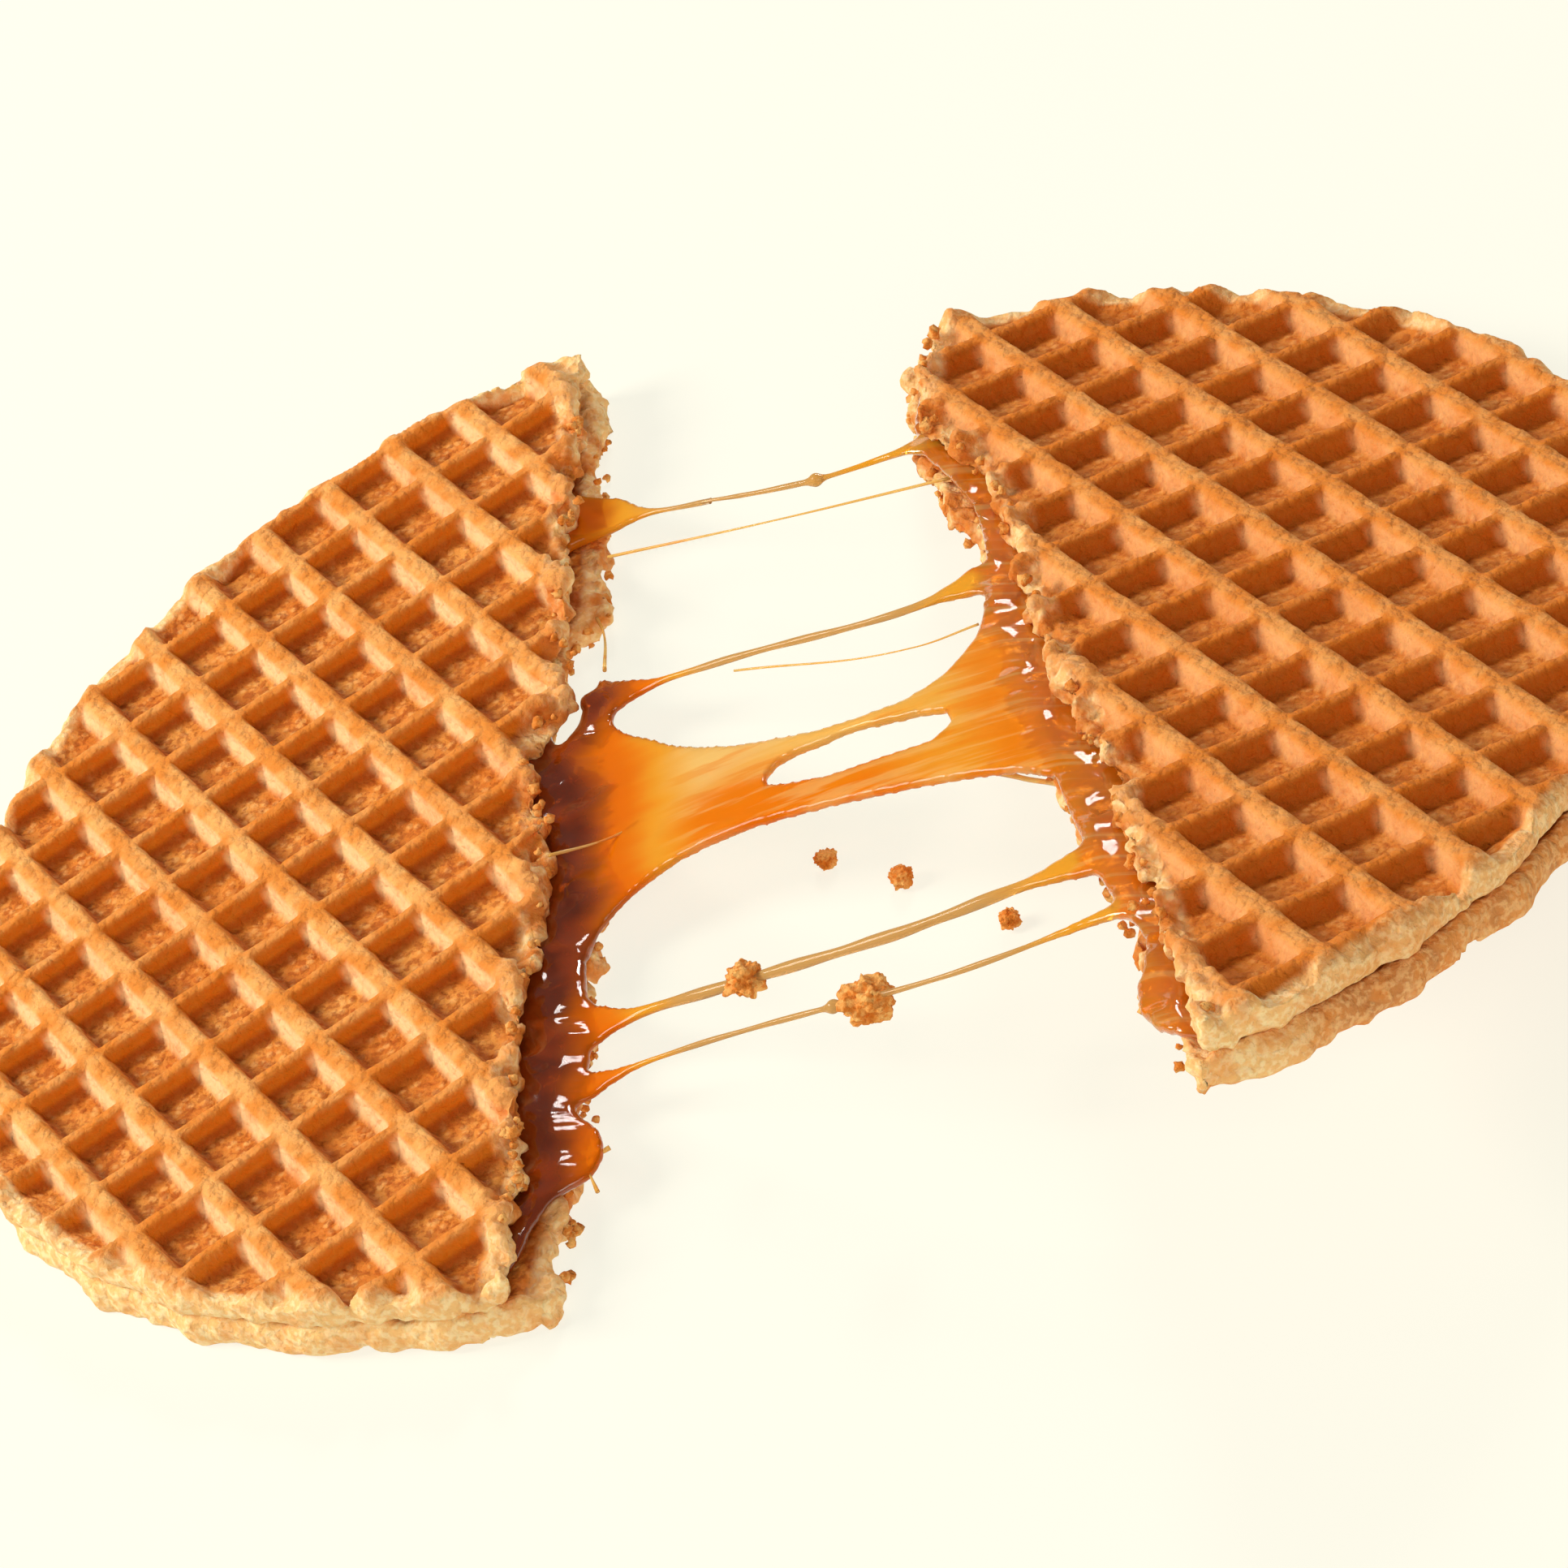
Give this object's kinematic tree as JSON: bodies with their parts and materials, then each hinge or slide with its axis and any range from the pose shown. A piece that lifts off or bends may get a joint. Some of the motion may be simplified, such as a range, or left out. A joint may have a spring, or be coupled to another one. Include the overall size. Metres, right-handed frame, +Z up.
{
  "type": "stroopwafel",
  "caption": "Round stroopwafel torn in two and pulled apart, with a web and strands of caramel stretched between the halves; the right half leans up.",
  "frame": {"origin": "middle of the footprint box on the table, under the gap between the halves", "axes": "+X along the pull, from the flat left half to the leaning right half; +Z up from the table; +Y away from the viewer's side"},
  "size_m": [0.1192, 0.094, 0.0207],
  "materials": {
    "wafer_top": "Crisp baked wafer, golden tan on the ridges and browner in the pits, matte and grainy.",
    "wafer_bottom": "Crisp baked wafer, a little browner than the upper one, matte, with a pale porous wall.",
    "caramel": "Stretched caramel, glossy and see-through where thin, from pale gold to deep red brown."
  },
  "bodies": {
    "root": {"wafer_bottom_left": "wafer_bottom", "wafer_top_left": "wafer_top", "wafer_bottom_right": "wafer_bottom", "wafer_top_right": "wafer_top", "caramel": "caramel"}
  },
  "joints": []
}
